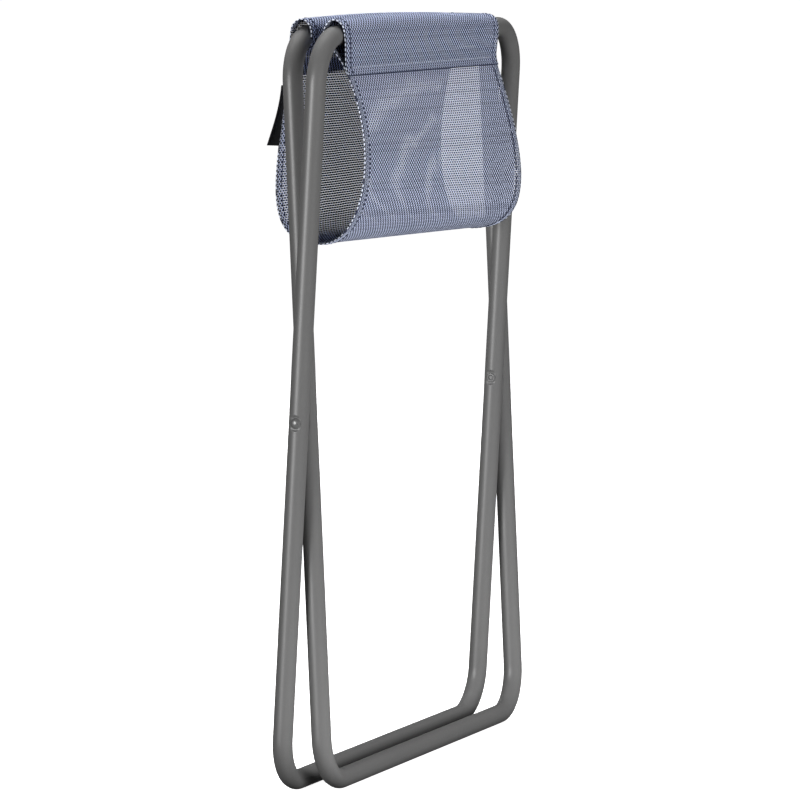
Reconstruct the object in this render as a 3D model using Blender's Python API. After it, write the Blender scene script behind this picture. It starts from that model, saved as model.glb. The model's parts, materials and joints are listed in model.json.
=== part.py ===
"""A folding camp stool, folded and standing on its two bottom bars.

Two closed tube loops cross like scissors and turn on a pair of rivets. A cloth seat
hangs in a loop between their top bars, sewn to itself round each bar as a sleeve.

Metres, +Z up. X runs across the stool and -Y is the front. The origin is on the ground,
halfway between the bottom bars. Cloth outlines are (y, z) points measured from the pivot axis.
"""

import math

import bmesh
import bpy
from mathutils import Vector

# Frame tubes
TUBE_RADIUS = 0.008
TUBE_WALL = 0.0012
TUBE_SIDES = 16
LEG_SPACING = 0.433
PIVOT_TO_TOP_BAR = 0.304
PIVOT_TO_BOTTOM_BAR = 0.291
CORNER_RADIUS = 0.038
CORNER_STEPS = 8
FOLDED_LEAN = math.radians(2.92)
TUBE_JOINT_GAP = 0.0006
HOLE_ZONE = 0.020

# Rivets and the spacer washers between the legs
LEG_TO_LEG_GAP = 0.0018
RIVET_SIDES = 24
RIVET_RADIUS = 0.0025
RIVET_HOLE_RADIUS = 0.0029
RIVET_HEAD_RADIUS = 0.0046
RIVET_HEAD_HEIGHT = 0.0019
ROLLED_END_RADIUS = 0.0040
ROLLED_END_HEIGHT = 0.0014
RIVET_BORE_RADIUS = 0.0014
RIVET_BORE_DEPTH = 0.0060
WASHER_RADIUS = 0.0050
WASHER_HOLE_RADIUS = 0.0030
WASHER_THICKNESS = 0.0014

# Ferrules that join the tube ends inside the top bars
FERRULE_LENGTH = 0.060
FERRULE_WALL = 0.0010

# Seat cloth
CLOTH_WIDTH = 0.340
CLOTH_THICKNESS = 0.0012
CLOTH_FRONT_LEFT_X = -0.194
CLOTH_BACK_LEFT_X = -0.1855
PANELS_PER_HALF = 6
FOLD_GAP = 0.0008
FOLD_CROWDING = 0.060
CLOTH_SAMPLES = 240
SLEEVE_HEM_LENGTH = 0.0070
SLEEVE_STEPS = 14
CLOTH_LOWEST = (-0.002, 0.1362)

# Label tag sewn into the side hem at the back
LABEL_WIDTH = 0.0120
LABEL_LENGTH = 0.046
LABEL_THICKNESS = 0.0009
LABEL_TILT = math.radians(28.0)
LABEL_EDGE_GAP = 0.0015
LABEL_HEM_GAP = 0.0010

CLEARANCE = 0.0003

# The bars stand on a facet of the tube, which is a little nearer the centre than its corners.
FACET_RADIUS = TUBE_RADIUS * math.cos(math.pi / TUBE_SIDES)
PIVOT_HEIGHT = PIVOT_TO_BOTTOM_BAR * math.cos(FOLDED_LEAN) + FACET_RADIUS
FRAME_OFFSET = TUBE_RADIUS + LEG_TO_LEG_GAP / 2
PIVOT_X = LEG_SPACING / 2

# How each half of the stool differs: side is -1 at the front and +1 at the back. The sleeve's
# tail hangs from its bar to the hem, and the cloth leaves the hem at its own angle; both are
# measured from straight down. The two pulls shape the curve from the hem to the lowest point.
HALVES = {
    "front": {
        "side": -1,
        "tail_length": 0.0342,
        "tail_angle": math.radians(19.0),
        "cloth_angle": math.radians(21.5),
        "pull_at_hem": 0.074,
        "pull_at_bottom": 0.048,
    },
    "back": {
        "side": 1,
        "tail_length": 0.0337,
        "tail_angle": math.radians(16.0),
        "cloth_angle": math.radians(9.0),
        "pull_at_hem": 0.066,
        "pull_at_bottom": 0.044,
    },
}


def make_material(name, colour, roughness, metallic):
    material = bpy.data.materials.new(name)
    material.use_nodes = True
    shader = material.node_tree.nodes["Principled BSDF"]
    shader.inputs["Base Color"].default_value = (*colour, 1.0)
    shader.inputs["Roughness"].default_value = roughness
    shader.inputs["Metallic"].default_value = metallic
    return material


def make_object(name, mesh_builder, material, smooth_angle=None):
    """Turns a bmesh into a named object with its faces pointing out."""
    bmesh.ops.recalc_face_normals(mesh_builder, faces=mesh_builder.faces)
    mesh = bpy.data.meshes.new(name)
    mesh_builder.to_mesh(mesh)
    mesh_builder.free()
    mesh.materials.append(material)
    if smooth_angle is not None:
        mesh.shade_smooth()
        mesh.set_sharp_from_angle(angle=smooth_angle)
    piece = bpy.data.objects.new(name, mesh)
    bpy.context.scene.collection.objects.link(piece)
    return piece


def hang(piece, parent, location, turn=0.0):
    """Places a piece in its parent's frame, turned about X."""
    piece.parent = parent
    piece.location = location
    piece.rotation_euler = (turn, 0.0, 0.0)


def bridge(mesh_builder, ring_a, ring_b):
    """Joins two rings of the same length with a band of quads."""
    count = len(ring_a)
    for i in range(count):
        j = (i + 1) % count
        mesh_builder.faces.new((ring_a[i], ring_a[j], ring_b[j], ring_b[i]))


# Frame tubes


def loop_path():
    """Points of the tube's centreline as (x, z, outward direction), from joint end to joint end."""
    corner_x = LEG_SPACING / 2 - CORNER_RADIUS
    top_z = PIVOT_TO_TOP_BAR - CORNER_RADIUS
    bottom_z = -PIVOT_TO_BOTTOM_BAR + CORNER_RADIUS
    up = Vector((0.0, 0.0, 1.0))
    path = [(TUBE_JOINT_GAP / 2, PIVOT_TO_TOP_BAR, up)]
    corners = ((corner_x, top_z), (corner_x, bottom_z), (-corner_x, bottom_z), (-corner_x, top_z))
    for index, (x, z) in enumerate(corners):
        for step in range(CORNER_STEPS + 1):
            angle = math.radians(90.0) * (1.0 - index - step / CORNER_STEPS)
            outward = Vector((math.cos(angle), 0.0, math.sin(angle)))
            path.append((x + CORNER_RADIUS * outward.x, z + CORNER_RADIUS * outward.z, outward))
        if index in (0, 2):
            leg_x = math.copysign(LEG_SPACING / 2, x)
            outward = Vector((math.copysign(1.0, x), 0.0, 0.0))
            first = math.copysign(HOLE_ZONE, z)
            path.append((leg_x, first, outward))
            path.append((leg_x, -first, outward))
    path.append((-TUBE_JOINT_GAP / 2, PIVOT_TO_TOP_BAR, up))
    return path


def tube_section(point, radius, lean):
    """The tube's section at a path point, turned so that a facet lies flat on the ground."""
    x, z, outward = point
    across = Vector((0.0, 1.0, 0.0))
    centre = Vector((x, 0.0, z))
    ring = []
    for k in range(TUBE_SIDES):
        angle = 2.0 * math.pi * (k + 0.5) / TUBE_SIDES - lean
        ring.append(centre + radius * (math.cos(angle) * outward + math.sin(angle) * across))
    return ring


def build_frame_tube(half, side, material):
    """One bent tube with its rivet holes. The frame that is in front at the top is behind below."""
    lean = -side * FOLDED_LEAN
    builder = bmesh.new()
    skins = []
    for radius in (TUBE_RADIUS, TUBE_RADIUS - TUBE_WALL):
        rings = []
        for point in loop_path():
            rings.append([builder.verts.new(co) for co in tube_section(point, radius, lean)])
        for ring_a, ring_b in zip(rings, rings[1:]):
            bridge(builder, ring_a, ring_b)
        skins.append(rings)
    outer, inner = skins
    bridge(builder, outer[0], inner[0])
    bridge(builder, outer[-1], inner[-1])
    tube = make_object(half + "_frame_tube", builder, material, math.radians(40.0))
    tube.location = (side * FRAME_OFFSET, 0.0, PIVOT_HEIGHT)
    tube.rotation_euler = (lean, 0.0, 0.0)

    drill = make_object(
        half + "_rivet_drill",
        turned([(-LEG_SPACING, RIVET_HOLE_RADIUS), (LEG_SPACING, RIVET_HOLE_RADIUS)]),
        material,
    )
    drill.hide_render = True
    drill.display_type = "WIRE"
    hang(drill, tube, (0.0, 0.0, 0.0))
    holes = tube.modifiers.new("rivet_holes", "BOOLEAN")
    holes.operation = "DIFFERENCE"
    holes.solver = "EXACT"
    holes.object = drill
    return tube


# Turned pieces


def turned(profile, bore=False, sides=RIVET_SIDES):
    """A body turned about X from (x, radius) points; without a bore its two ends are closed."""
    builder = bmesh.new()
    rings = []
    for x, radius in profile:
        ring = []
        for k in range(sides):
            angle = 2.0 * math.pi * (k + 0.5) / sides
            ring.append(builder.verts.new((x, radius * math.cos(angle), radius * math.sin(angle))))
        rings.append(ring)
    for ring_a, ring_b in zip(rings, rings[1:]):
        bridge(builder, ring_a, ring_b)
    if bore:
        bridge(builder, rings[-1], rings[0])
    else:
        builder.faces.new(rings[0])
        builder.faces.new(rings[-1])
    return builder


def build_rivet(name, side, material):
    """A semi-tubular rivet: domed head outside, rolled end inside. Its head points along side."""
    seat = FRAME_OFFSET + TUBE_RADIUS + CLEARANCE
    dome_steps = 5
    profile = []
    for step in range(dome_steps):
        angle = math.radians(90.0) * (1.0 - (step + 0.35) / dome_steps)
        profile.append(
            (seat + RIVET_HEAD_HEIGHT * math.sin(angle), RIVET_HEAD_RADIUS * math.cos(angle))
        )
    profile += [
        (seat, RIVET_HEAD_RADIUS),
        (seat, RIVET_RADIUS),
        (-seat, RIVET_RADIUS),
        (-seat, ROLLED_END_RADIUS - 0.3 * ROLLED_END_HEIGHT),
        (-seat - 0.4 * ROLLED_END_HEIGHT, ROLLED_END_RADIUS),
        (-seat - 0.8 * ROLLED_END_HEIGHT, ROLLED_END_RADIUS - 0.3 * ROLLED_END_HEIGHT),
        (-seat - ROLLED_END_HEIGHT, RIVET_RADIUS),
        (-seat - 0.6 * ROLLED_END_HEIGHT, RIVET_BORE_RADIUS),
        (-seat + RIVET_BORE_DEPTH, RIVET_BORE_RADIUS),
    ]
    rivet = make_object(
        name, turned([(side * x, r) for x, r in profile]), material, math.radians(40.0)
    )
    rivet.location = (side * PIVOT_X, 0.0, PIVOT_HEIGHT)
    return rivet


def build_washer(name, side, material):
    half_thickness = WASHER_THICKNESS / 2
    profile = [
        (-half_thickness, WASHER_HOLE_RADIUS),
        (-half_thickness, WASHER_RADIUS),
        (half_thickness, WASHER_RADIUS),
        (half_thickness, WASHER_HOLE_RADIUS),
    ]
    washer = make_object(name, turned(profile, bore=True), material, math.radians(40.0))
    washer.location = (side * PIVOT_X, 0.0, PIVOT_HEIGHT)
    return washer


def build_ferrule(half, tube, lean, material):
    """A short sleeve inside the top bar that holds the two ends of the bent tube together."""
    inner_facet = (TUBE_RADIUS - TUBE_WALL) * math.cos(math.pi / TUBE_SIDES)
    radius = inner_facet - CLEARANCE
    half_length = FERRULE_LENGTH / 2
    profile = [
        (-half_length, radius - FERRULE_WALL),
        (-half_length, radius),
        (half_length, radius),
        (half_length, radius - FERRULE_WALL),
    ]
    ferrule = make_object(
        half + "_tube_joint_ferrule",
        turned(profile, bore=True, sides=TUBE_SIDES),
        material,
        math.radians(40.0),
    )
    hang(ferrule, tube, (0.0, 0.0, PIVOT_TO_TOP_BAR), -lean)


# Seat cloth


def down_and_out(side, angle):
    """The (y, z) direction that leans out from straight down by an angle."""
    return Vector((side * math.sin(angle), -math.cos(angle)))


def heading(direction):
    """The turn about X that points +Y along a (y, z) direction."""
    return math.atan2(direction.y, direction.x)


def bar_centre(half):
    """The (y, z) centre of a half's top bar, measured from the pivot axis."""
    side = HALVES[half]["side"]
    return PIVOT_TO_TOP_BAR * Vector((side * math.sin(FOLDED_LEAN), math.cos(FOLDED_LEAN)))


def hem_point(half):
    """Where a half's sleeve ends and its free cloth begins."""
    shape = HALVES[half]
    tail = shape["tail_length"] * down_and_out(shape["side"], shape["tail_angle"])
    return bar_centre(half) + tail


def fold_points(half):
    """Points down a half's cloth from hem to lowest point, closer together where it bends more."""
    shape = HALVES[half]
    side = shape["side"]
    start = hem_point(half)
    end = Vector(CLOTH_LOWEST)
    pull_a = start + shape["pull_at_hem"] * down_and_out(side, shape["cloth_angle"])
    pull_b = end + Vector((side * shape["pull_at_bottom"], 0.0))
    curve = []
    for step in range(CLOTH_SAMPLES + 1):
        t = step / CLOTH_SAMPLES
        s = 1.0 - t
        curve.append(
            s**3 * start + 3 * s * s * t * pull_a + 3 * s * t * t * pull_b + t**3 * end
        )
    travelled = [0.0]
    before = down_and_out(side, shape["cloth_angle"])
    for a, b in zip(curve, curve[1:]):
        step = b - a
        bend = before.angle(step)
        travelled.append(travelled[-1] + step.length + FOLD_CROWDING * bend)
        before = step
    points = [start]
    for k in range(1, PANELS_PER_HALF):
        wanted = travelled[-1] * k / PANELS_PER_HALF
        index = next(i for i, length in enumerate(travelled) if length >= wanted)
        points.append(curve[index])
    points.append(end)
    return points


def left_edge(half, step):
    """The x of the cloth's left edge: it drifts from the front bar to the back bar."""
    steps_per_half = PANELS_PER_HALF + 1
    travel = step / (2 * steps_per_half)
    if half == "back":
        travel = 1.0 - travel
    return CLOTH_FRONT_LEFT_X + travel * (CLOTH_BACK_LEFT_X - CLOTH_FRONT_LEFT_X)


def teardrop(big_radius, small_radius, length):
    """The (y, z) outline of a band drawn tight round the bar and a small roll further along +Y."""
    flare = math.asin((big_radius - small_radius) / length)
    outline = []
    for step in range(SLEEVE_STEPS + 1):
        angle = math.radians(90.0) - flare
        angle += (math.pi + 2.0 * flare) * step / SLEEVE_STEPS
        outline.append((big_radius * math.cos(angle), big_radius * math.sin(angle)))
    roll_steps = 3
    for step in range(roll_steps + 1):
        angle = -math.radians(90.0) + flare
        angle += (math.pi - 2.0 * flare) * step / roll_steps
        outline.append(
            (length + small_radius * math.cos(angle), small_radius * math.sin(angle))
        )
    return outline


def build_sleeve(half, tube, lean, material):
    """The tunnel of cloth that turns round a top bar, closed by the hem seam."""
    shape = HALVES[half]
    side = shape["side"]
    frame_x = side * FRAME_OFFSET
    straight_end = LEG_SPACING / 2 - CORNER_RADIUS
    left = max(left_edge(half, 0) - frame_x, -straight_end)
    right = min(left_edge(half, 0) + CLOTH_WIDTH - frame_x, straight_end)
    inner_radius = TUBE_RADIUS + CLEARANCE
    outer_roll = CLOTH_THICKNESS
    outer_length = shape["tail_length"] - outer_roll - FOLD_GAP / 2
    inner_length = outer_length - SLEEVE_HEM_LENGTH
    outer = teardrop(inner_radius + CLOTH_THICKNESS, outer_roll, outer_length)
    inner = teardrop(inner_radius, CLOTH_THICKNESS / 4, inner_length)

    builder = bmesh.new()
    ends = []
    for x in (left, right):
        loops = []
        for outline in (outer, inner):
            loops.append([builder.verts.new((x, y, z)) for y, z in outline])
        bridge(builder, loops[0], loops[1])
        ends.append(loops)
    for loop_a, loop_b in zip(ends[0], ends[1]):
        bridge(builder, loop_a, loop_b)
    sleeve = make_object(half + "_bar_sleeve", builder, material, math.radians(40.0))
    turn = heading(down_and_out(side, shape["tail_angle"]))
    hang(sleeve, tube, (0.0, 0.0, PIVOT_TO_TOP_BAR), turn - lean)
    return sleeve, turn


def plate(left, right, start, end, thickness, centre_z=0.0):
    """A flat box from start to end along +Y, centred on a height."""
    builder = bmesh.new()
    for x in (left, right):
        for y, z in ((start, -1), (end, -1), (end, 1), (start, 1)):
            builder.verts.new((x, y, centre_z + z * thickness / 2))
    builder.verts.ensure_lookup_table()
    ring_a = builder.verts[0:4]
    ring_b = builder.verts[4:8]
    bridge(builder, ring_a, ring_b)
    builder.faces.new(ring_a)
    builder.faces.new(ring_b)
    return builder


def build_panels(half, sleeve, sleeve_turn, material):
    """The free cloth of one half as flat panels, each turning on the end of the one before."""
    side = HALVES[half]["side"]
    points = fold_points(half)
    parent = sleeve
    parent_turn = sleeve_turn
    reach = HALVES[half]["tail_length"]
    panels = []
    for k, (a, b) in enumerate(zip(points, points[1:]), start=1):
        length = (b - a).length
        left = left_edge(half, k + 0.5) - side * FRAME_OFFSET
        panel = make_object(
            f"{half}_seat_panel_{k}",
            plate(left, left + CLOTH_WIDTH, FOLD_GAP / 2, length - FOLD_GAP / 2, CLOTH_THICKNESS),
            material,
        )
        turn = heading(b - a)
        hang(panel, parent, (0.0, reach, 0.0), turn - parent_turn)
        panels.append(panel)
        parent = panel
        parent_turn = turn
        reach = length
    return panels


def build_label(panel, material):
    """A blank woven tag that stands out from the left side hem beside the first back panel."""
    inner_x = left_edge("back", 1.5) - FRAME_OFFSET - LABEL_EDGE_GAP
    builder = plate(
        -LABEL_WIDTH, 0.0, LABEL_HEM_GAP, LABEL_HEM_GAP + LABEL_LENGTH, LABEL_THICKNESS
    )
    label = make_object("label_tag", builder, material)
    label.parent = panel
    label.location = (inner_x, 0.0, 0.0)
    label.rotation_euler = (0.0, LABEL_TILT, 0.0)


def build_stool():
    paint = make_material("frame_paint", (0.150, 0.150, 0.150), 0.45, 0.35)
    rivet_steel = make_material("rivet_steel", (0.200, 0.200, 0.200), 0.40, 0.60)
    spacer = make_material("spacer", (0.050, 0.050, 0.052), 0.55, 0.10)
    raw_steel = make_material("raw_steel", (0.400, 0.400, 0.400), 0.50, 0.90)
    cloth = make_material("seat_cloth", (0.270, 0.300, 0.430), 0.80, 0.00)
    label_cloth = make_material("label_cloth", (0.010, 0.010, 0.012), 0.70, 0.00)

    for half, shape in HALVES.items():
        side = shape["side"]
        lean = -side * FOLDED_LEAN
        tube = build_frame_tube(half, side, paint)
        build_ferrule(half, tube, lean, raw_steel)
        sleeve, sleeve_turn = build_sleeve(half, tube, lean, cloth)
        panels = build_panels(half, sleeve, sleeve_turn, cloth)
    build_label(panels[0], label_cloth)

    for name, side in (("left", -1), ("right", 1)):
        build_rivet(name + "_pivot_rivet", side, rivet_steel)
        build_washer(name + "_spacer_washer", side, spacer)


for old in list(bpy.data.objects):
    bpy.data.objects.remove(old, do_unlink=True)
build_stool()
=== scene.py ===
"""Looks of the folding camp stool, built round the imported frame.

Metres, +Z up, -Y is the front. The frame gives the places: the pivot axis, the two top bars and
the folds down each half of the seat cloth. Cloth outlines are (y, z) points measured from the
pivot axis. Each half's cloth runs from the cut end of its sleeve's flap, up over the bar, down
the inner side of the sleeve and on to the lowest point of the hanging loop. A row is a distance
along the cloth from that lowest point: negative in the front half, positive in the back half.
"""

import json
import math

import bpy
import numpy as np
from mathutils import Matrix, Vector


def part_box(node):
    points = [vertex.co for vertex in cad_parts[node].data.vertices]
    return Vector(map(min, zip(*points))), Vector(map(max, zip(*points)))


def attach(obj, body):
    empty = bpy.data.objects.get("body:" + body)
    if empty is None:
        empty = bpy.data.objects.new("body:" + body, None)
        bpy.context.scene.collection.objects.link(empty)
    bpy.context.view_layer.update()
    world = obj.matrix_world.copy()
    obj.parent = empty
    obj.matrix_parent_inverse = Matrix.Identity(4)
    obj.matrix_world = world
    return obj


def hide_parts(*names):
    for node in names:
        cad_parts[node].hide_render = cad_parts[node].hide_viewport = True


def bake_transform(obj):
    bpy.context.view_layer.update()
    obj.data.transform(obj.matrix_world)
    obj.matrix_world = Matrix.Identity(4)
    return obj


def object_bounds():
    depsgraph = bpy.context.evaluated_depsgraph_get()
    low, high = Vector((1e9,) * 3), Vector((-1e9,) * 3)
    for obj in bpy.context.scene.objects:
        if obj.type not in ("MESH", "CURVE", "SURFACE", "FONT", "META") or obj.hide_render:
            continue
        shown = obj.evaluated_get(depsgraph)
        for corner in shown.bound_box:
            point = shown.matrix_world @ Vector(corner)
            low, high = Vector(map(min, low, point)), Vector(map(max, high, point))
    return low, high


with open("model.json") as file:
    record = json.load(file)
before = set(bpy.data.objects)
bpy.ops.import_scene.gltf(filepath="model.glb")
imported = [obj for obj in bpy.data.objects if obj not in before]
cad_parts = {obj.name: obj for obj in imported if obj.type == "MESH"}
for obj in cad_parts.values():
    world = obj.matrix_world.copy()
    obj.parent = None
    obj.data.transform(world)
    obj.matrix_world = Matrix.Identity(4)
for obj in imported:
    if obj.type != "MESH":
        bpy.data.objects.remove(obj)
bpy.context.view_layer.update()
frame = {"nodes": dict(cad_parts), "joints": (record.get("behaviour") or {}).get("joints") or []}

# Frame tubes
TUBE_RADIUS = 0.008
TUBE_SIDES = 40
CORNER_RADIUS = 0.038
CORNER_STEPS = 22
BEND_FLATTENING = 0.035
BUTT_JOINT_GROOVE = 0.0004
BUTT_JOINT_WIDTH = 0.0007
PRESSED_DEPTH = 0.0013
PRESSED_FLAT_RADIUS = 0.0051
PRESSED_FADE_RADIUS = 0.0068
PRESSED_REACH = PRESSED_FADE_RADIUS * 1.2
TOP_BAR_STEPS = 8
BOTTOM_BAR_STEPS = 14
LEG_STEPS = 14
PRESSED_STEPS = 34

# Rivets
RIVET_SIDES = 40
HEAD_RADIUS = 0.0045
HEAD_HEIGHT = 0.0022
HEAD_SINK = 0.0006
HEAD_STEPS = 10
HEAD_POLE_GAP = 0.2
ROLL_RADIUS = 0.0044
ROLL_HEIGHT = 0.0014
ROLL_SINK = 0.0004
ROLL_STEPS = 12
ROLL_BORE_RADIUS = 0.0015
ROLL_BORE_DEPTH = 0.0030
ROLL_BORE_TAPER = 0.9
RIVET_SHANK_RADIUS = 0.0024

# Seat cloth. BLEND_MARGIN is a share of a piece's length, in from either end.
CLOTH_WIDTH = 0.340
CLOTH_THICKNESS = 0.0003
HEM_STEP = 0.0005
FRONT_BAR_LEFT_X = -0.194
BACK_BAR_LEFT_X = -0.1855
SIDE_HEM = 0.010
FLAP_HEM = 0.011
HEM_FACE = -CLOTH_THICKNESS / 2 - HEM_STEP
GRID_ALONG = 0.0019
HEM_COLUMNS = (0.0, 0.001, 0.003, 0.006, 0.008, SIDE_HEM - 0.0003, SIDE_HEM + 0.0003, 0.012)
FIRST_MIDDLE_COLUMN = 0.016
MIDDLE_COLUMNS = 36
DENSE_ROWS = 500
CURVE_STEPS = 400
SPLINE_STEPS = 40
BLEND_MARGIN = 0.16
TUCK_UNDER = 0.0016
SIDES = {"front": -1, "back": 1}
PANELS_PER_HALF = 6

# Weave. Middles and heights are shares of a row's pitch, and SLIT_OPEN is the share of a slit
# that is clear.
ROW_PITCH = 0.0019
DOT_PITCH = 0.0050
CROSS_YARN_PITCH = 0.0025
CROSS_YARN_EDGE = 0.03
DOT_MIDDLE = 0.44
SLIT_MIDDLE = 0.88
SLIT_HEIGHT = 0.21
CUT_IN_ROW = 0.9
SLIT_OPEN = 0.86
LAMP_LIGHT_LET_THROUGH = 0.10
ROW_WAVER = 0.00090

# Sleeve outline: (out, up) from the bar's centre, from the flap's cut end to the free cloth
SLEEVE_OUTLINE = (
    (0.0116, -0.0312),
    (0.0094, -0.0250),
    (0.0096, -0.0150),
    (0.0099, -0.0030),
    (0.0087, 0.0062),
    (0.0048, 0.0112),
    (0.0000, 0.0128),
    (-0.0048, 0.0107),
    (-0.0084, 0.0050),
    (-0.0088, -0.0020),
    (-0.0066, -0.0075),
    (-0.0004, -0.0130),
    (0.0058, -0.0218),
    (0.0078, -0.0266),
    (0.0104, -0.0324),
)
SLEEVE_CROWN = 0.0021
SLEEVE_RIGHT_DROP = 0.0016

# Each edge of the free cloth is a curve: where it starts, its angle from straight down there,
# how far that pulls it, its lowest point, and how far the level run at the bottom pulls it.
EDGE_CURVES = {
    ("front", "left"): ((-0.0279, 0.2712), 23.8, 0.0680, (-0.0020, 0.1390), 0.0365),
    ("front", "right"): ((-0.0240, 0.2712), 18.8, 0.0806, (-0.0020, 0.1335), 0.0596),
    ("back", "left"): ((0.0279, 0.2712), 3.2, 0.0663, (-0.0020, 0.1390), 0.0565),
    ("back", "right"): ((0.0205, 0.2712), 14.9, 0.0663, (-0.0020, 0.1335), 0.0306),
}

# Threads
STITCH_PITCH = 0.0038
STITCH_LENGTH = 0.0030
STITCH_RADIUS = 0.00048
EDGE_STITCH_RADIUS = 0.00050
SEAM_STITCH_RADIUS = 0.00018
STITCH_SHAPE = ((-0.5, 0.35), (-0.3, 1.0), (0.3, 1.0), (0.5, 0.35))
SIDE_STITCH_INSET = 0.0094
SIDE_STITCH_PHASE = 0.3
SLEEVE_STITCH_UP = 0.0066
EDGE_CORD_RADIUS = 0.00040
EDGE_CORD_STEP = 0.0012
# The dark thread along the flap's cut end paints the shadow line under its hem.
CUT_END_SHADOW_RADIUS = 0.00055
CHAIN_INSET = 0.0048
CHAIN_SWING = 0.0024
CHAIN_RADIUS = 0.00030
CHAIN_STEP = 0.0005
THREAD_SIDES = 6

# Label tag
LABEL_WIDTH = 0.0120
LABEL_LENGTH = 0.048
LABEL_THICKNESS = 0.0009
LABEL_FOLD_BULGE = 0.6
LABEL_ROWS = 36
LABEL_COLUMNS = 9
LABEL_TOP_TILT = math.radians(-8.0)
LABEL_BOTTOM_TILT = math.radians(28.0)
LABEL_EDGE_GAP = 0.0014
LABEL_TOP_GAP = 0.0070
RIB_PITCH = 0.0006

# Colours
YARN_INSIDE = ((0.49, 0.56, 0.77, 1.0), (0.59, 0.65, 0.89, 1.0))
YARN_OUTSIDE = ((0.54, 0.60, 0.80, 1.0), (0.63, 0.69, 0.91, 1.0))
SHADED_YARN = (0.20, 0.22, 0.33, 1.0)
# Dark yarn of the floats, also used for the painted shade in the slits, beside the hems and along
# the cut edges.
DARK_YARN_AND_PAINTED_SHADE = (0.004, 0.006, 0.018, 1.0)
PALE_THREAD = ((0.60, 0.65, 0.80, 1.0), (0.84, 0.88, 0.97, 1.0))
NAVY_THREAD = ((0.012, 0.016, 0.040, 1.0), (0.035, 0.042, 0.085, 1.0))
CHAIN_THREAD = ((0.40, 0.45, 0.60, 1.0), (0.66, 0.71, 0.86, 1.0))
WARM_GREY = (1.0, 0.995, 0.985)

# Camera and studio
CAMERA_PLACE = (-3.9197, -1.5603, 0.7059)
CAMERA_AZIMUTH = math.radians(68.24)
CAMERA_DROP = math.radians(5.54)
CAMERA_ROLL = math.radians(0.30)
CAMERA_LENS = 230.48
FLOOR_REACH = 60.0
FLOOR_GLOW = 1.10
ROOM_LIGHT = 0.04
STOOL_MIDDLE = (0.0, 0.0, 0.35)
BOUNCE_LIFT = 0.002


# Places read from the frame

JOINT_PLACES = {}
for joint in frame["joints"]:
    JOINT_PLACES[joint["name"]] = Vector(joint["pos_m"])
PIVOT = JOINT_PLACES["fold"]
BAR_CENTRES = {}
for half in SIDES:
    BAR_CENTRES[half] = JOINT_PLACES[half + "_sleeve_turn"]


# Materials


class Graph:
    """Short calls that build one material's nodes."""

    def __init__(self, name):
        self.material = bpy.data.materials.new(name)
        self.material.use_nodes = True
        self.tree = self.material.node_tree
        self.shader = self.tree.nodes["Principled BSDF"]

    def node(self, kind, **settings):
        made = self.tree.nodes.new(kind)
        for key, value in settings.items():
            setattr(made, key, value)
        return made

    def feed(self, socket, value):
        """Links another node's output to the socket, or sets a constant on it."""
        if isinstance(value, bpy.types.NodeSocket):
            self.tree.links.new(value, socket)
        else:
            socket.default_value = value

    def math(self, operation, a, b=0.0, clamp=False):
        made = self.node("ShaderNodeMath", operation=operation, use_clamp=clamp)
        self.feed(made.inputs[0], a)
        self.feed(made.inputs[1], b)
        return made.outputs[0]

    def plus(self, a, b):
        return self.math("ADD", a, b)

    def minus(self, a, b):
        return self.math("SUBTRACT", a, b)

    def times(self, a, b):
        return self.math("MULTIPLY", a, b)

    def over(self, a, b):
        return self.math("DIVIDE", a, b)

    def between(self, value, low, high):
        """low where the value is 0, high where it is 1."""
        return self.plus(self.times(value, high - low), low)

    def ramp(self, value, low, high, to_low=0.0, to_high=1.0):
        """A smooth step, from to_low where the value is low to to_high where it is high."""
        made = self.node("ShaderNodeMapRange", interpolation_type="SMOOTHSTEP")
        for socket, given in zip(made.inputs, (value, low, high, to_low, to_high)):
            self.feed(socket, given)
        return made.outputs[0]

    def band(self, value, middle, width, soft):
        """1 within the width round the middle, with soft edges."""
        away = self.math("ABSOLUTE", self.minus(value, middle))
        return self.ramp(away, width / 2 - soft, width / 2 + soft, 1.0, 0.0)

    def mix(self, factor, a, b):
        made = self.node("ShaderNodeMix", data_type="RGBA")
        self.feed(made.inputs["Factor"], factor)
        self.feed(made.inputs[6], a)
        self.feed(made.inputs[7], b)
        return made.outputs[2]

    def noise(self, vector, scale, detail=2.0):
        made = self.node("ShaderNodeTexNoise")
        self.feed(made.inputs["Vector"], vector)
        made.inputs["Scale"].default_value = scale
        made.inputs["Detail"].default_value = detail
        return made.outputs["Fac"]

    def place(self):
        return self.node("ShaderNodeTexCoord").outputs["Object"]

    def cloth_place(self):
        """The cloth's own place as a vector, and as metres across and along it."""
        uv = self.node("ShaderNodeUVMap", uv_map="cloth")
        split = self.node("ShaderNodeSeparateXYZ")
        self.feed(split.inputs[0], uv.outputs[0])
        return uv.outputs[0], split.outputs[0], split.outputs[1]

    def bump(self, height, distance, strength):
        made = self.node("ShaderNodeBump")
        self.feed(made.inputs["Height"], height)
        made.inputs["Distance"].default_value = distance
        made.inputs["Strength"].default_value = strength
        self.feed(self.shader.inputs["Normal"], made.outputs[0])

    def surface(self, **sockets):
        """Sets the shader's sockets, named with _ for a space, and gives the material."""
        for key, value in sockets.items():
            self.feed(self.shader.inputs[key.replace("_", " ")], value)
        return self.material


def grey(level, tint=(1.0, 1.0, 1.0)):
    """A colour of equal parts, each times its part of the tint."""
    return (level * tint[0], level * tint[1], level * tint[2], 1.0)


def frame_paint():
    """Satin grey powder coat with a fine orange peel and paler specks."""
    g = Graph("grey_powder_coat")
    place = g.place()
    peel = g.noise(place, scale=900.0)
    cloud = g.noise(place, scale=22.0, detail=3.0)
    speck = g.ramp(g.noise(place, scale=2600.0, detail=1.0), low=0.62, high=0.72)
    tone = g.mix(cloud, grey(0.104), grey(0.114, WARM_GREY))
    tone = g.mix(g.times(speck, 0.30), tone, grey(0.25))
    g.bump(peel, distance=0.00006, strength=0.6)
    rough = g.between(peel, 0.36, 0.50)
    return g.surface(Base_Color=tone, Roughness=rough, Specular_IOR_Level=0.62)


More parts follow.
